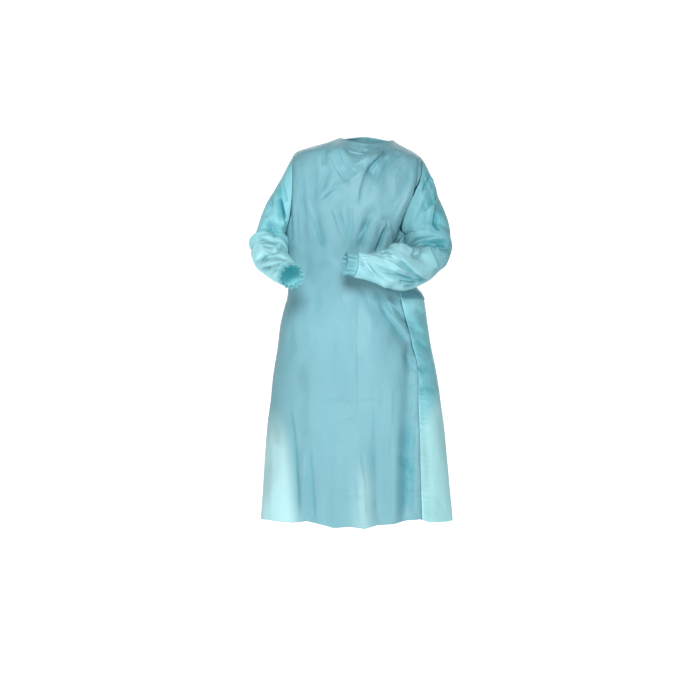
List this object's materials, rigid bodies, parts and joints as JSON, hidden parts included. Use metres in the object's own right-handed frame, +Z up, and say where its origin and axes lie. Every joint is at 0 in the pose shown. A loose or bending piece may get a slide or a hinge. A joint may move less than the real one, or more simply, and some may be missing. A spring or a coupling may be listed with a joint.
{
  "type": "disposable plastic gown",
  "caption": "Long-sleeved isolation gown of thin blue-green plastic film, filled out as worn, with elastic cuffs, a lapped open back and tied waist ties.",
  "frame": {"origin": "on the midline, level with the neck ends of the shoulder seams, where a wearer's shoulders carry the gown", "axes": "+Z up, the front of the gown faces -Y, the wearer's left is at +X"},
  "size_m": [0.5735, 0.4494, 1.1],
  "materials": {
    "film": "satin film",
    "sleeve_film": "satin film",
    "cuff_film": "gathered satin film",
    "tie_film": "folded satin film"
  },
  "bodies": {
    "root": {"front_panel": "film", "back_panel_left": "film", "back_panel_right": "film", "sleeve_left": "sleeve_film", "sleeve_right": "sleeve_film", "cuff_left": "cuff_film", "cuff_right": "cuff_film", "waist_tie_left": "tie_film", "waist_tie_right": "tie_film", "waist_knot": "tie_film", "tie_tail_left": "tie_film", "tie_tail_right": "tie_film", "neck_tab": "tie_film"}
  },
  "joints": []
}
